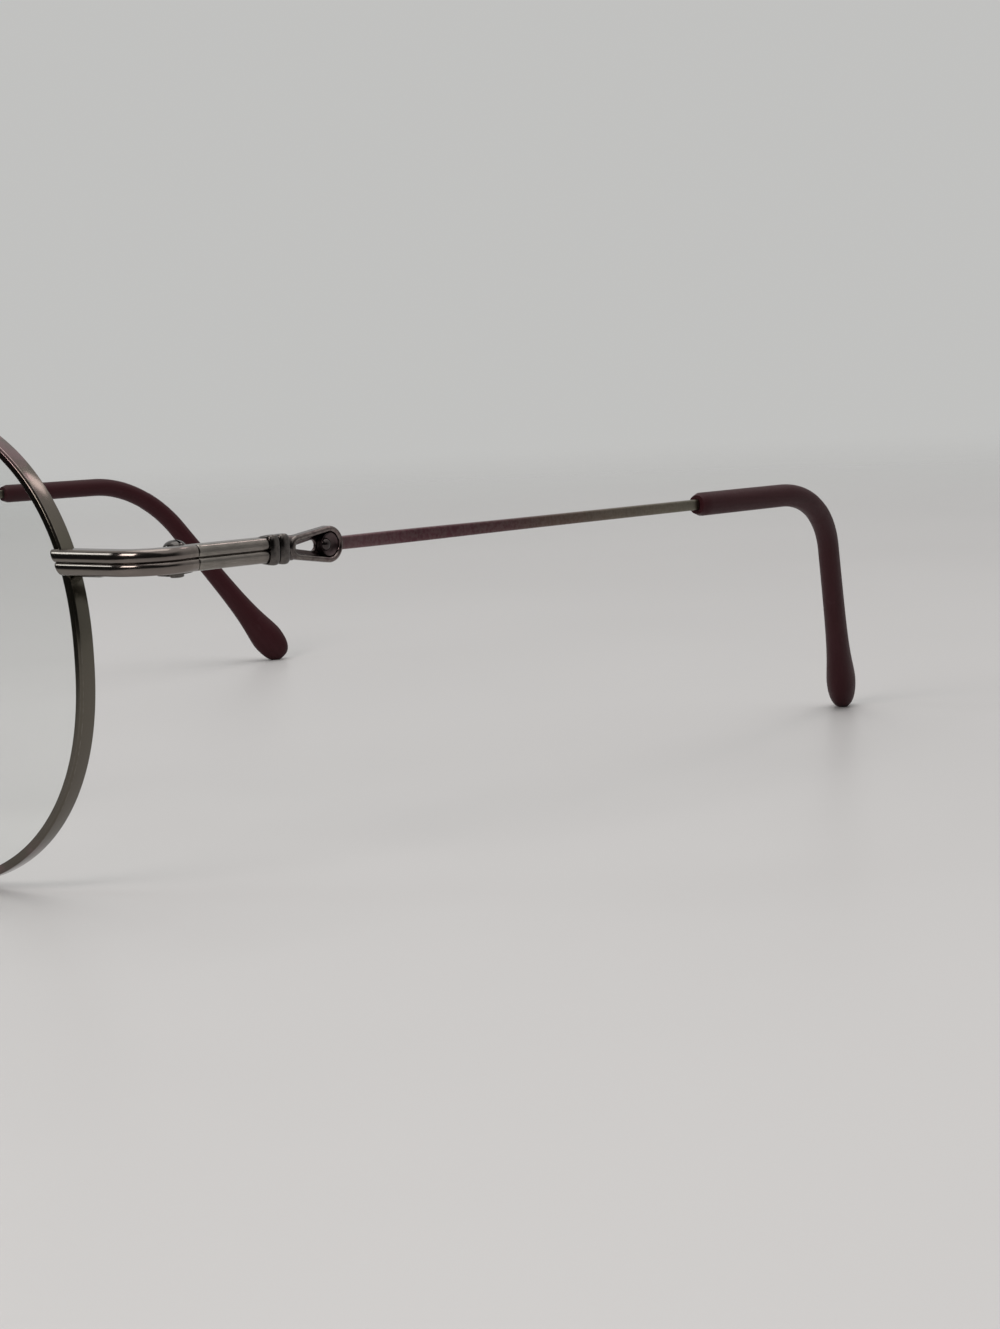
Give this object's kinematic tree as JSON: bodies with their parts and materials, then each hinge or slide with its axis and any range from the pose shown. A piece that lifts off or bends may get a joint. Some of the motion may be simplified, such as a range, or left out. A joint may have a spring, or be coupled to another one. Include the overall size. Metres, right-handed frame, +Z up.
{
  "type": "round eyeglasses",
  "caption": "Round metal-rim eyeglasses with twin-bar end pieces, screw hinges, slim wire temples, plastic ear tips and adjustable nose pads.",
  "frame": {"origin": "on the table, under the middle of the glasses' box; the rims and the temple tips stand on z = 0", "axes": "+Z up, -Y the way the wearer looks, +X the wearer's left"},
  "size_m": [0.1326, 0.1338, 0.0461],
  "materials": {
    "rim_metal": "gunmetal over metal, plum where the upper edge catches the light, satin",
    "front_metal": "gunmetal over cast metal, satin, lightly brushed",
    "temple_metal": "gunmetal, brushed along the bars",
    "wire_metal": "plum near the hinge, fading to olive gunmetal towards the tip, satin",
    "stud_metal": "dark plum, polished",
    "screw_steel": "fine turned steel",
    "tip_plastic": "dark plum, soft sheen",
    "lens_clear": "clear, polished",
    "pad_clear": "translucent soft silicone"
  },
  "bodies": {
    "front": {"bridge": "front_metal", "left_rim": "rim_metal", "left_lens": "lens_clear", "left_lock_upper": "front_metal", "left_lock_lower": "front_metal", "left_rim_screw": "screw_steel", "left_end_piece": "front_metal", "left_front_hinge": "front_metal", "left_hinge_screw": "screw_steel", "left_pad_arm": "front_metal", "left_pad_box": "front_metal", "left_pad_screw": "screw_steel", "right_rim": "rim_metal", "right_lens": "lens_clear", "right_lock_upper": "front_metal", "right_lock_lower": "front_metal", "right_rim_screw": "screw_steel", "right_end_piece": "front_metal", "right_front_hinge": "front_metal", "right_hinge_screw": "screw_steel", "right_pad_arm": "front_metal", "right_pad_box": "front_metal", "right_pad_screw": "screw_steel"},
    "left_temple": {"left_temple_hinge": "temple_metal", "left_temple_front": "temple_metal", "left_collar_rings": "temple_metal", "left_rivet": "stud_metal", "left_temple_wire": "wire_metal", "left_temple_tip": "tip_plastic"},
    "left_pad": {"left_pad_core": "pad_clear", "left_nose_pad": "pad_clear"},
    "right_temple": {"right_temple_hinge": "temple_metal", "right_temple_front": "temple_metal", "right_collar_rings": "temple_metal", "right_rivet": "stud_metal", "right_temple_wire": "wire_metal", "right_temple_tip": "tip_plastic"},
    "right_pad": {"right_pad_core": "pad_clear", "right_nose_pad": "pad_clear"}
  },
  "joints": [
    {"name": "left_temple_fold", "type": "hinge", "parent": "front", "child": "left_temple", "pos_m": [0.06292, -0.05353, 0.0316], "axis": [0.0007, -0.0349, 0.9994], "range_deg": [0, 86]},
    {"name": "right_temple_fold", "type": "hinge", "parent": "front", "child": "right_temple", "pos_m": [-0.06292, -0.05353, 0.0316], "axis": [0.0007, 0.0349, -0.9994], "range_deg": [0, 81]},
    {"name": "left_pad_rock", "type": "hinge", "parent": "front", "child": "left_pad", "pos_m": [0.011, -0.05347, 0.01955], "axis": [0.4384, 0.8988, 0], "range_deg": [-8, 8]},
    {"name": "right_pad_rock", "type": "hinge", "parent": "front", "child": "right_pad", "pos_m": [-0.011, -0.05347, 0.01955], "axis": [-0.4384, 0.8988, 0], "range_deg": [-8, 8]}
  ]
}
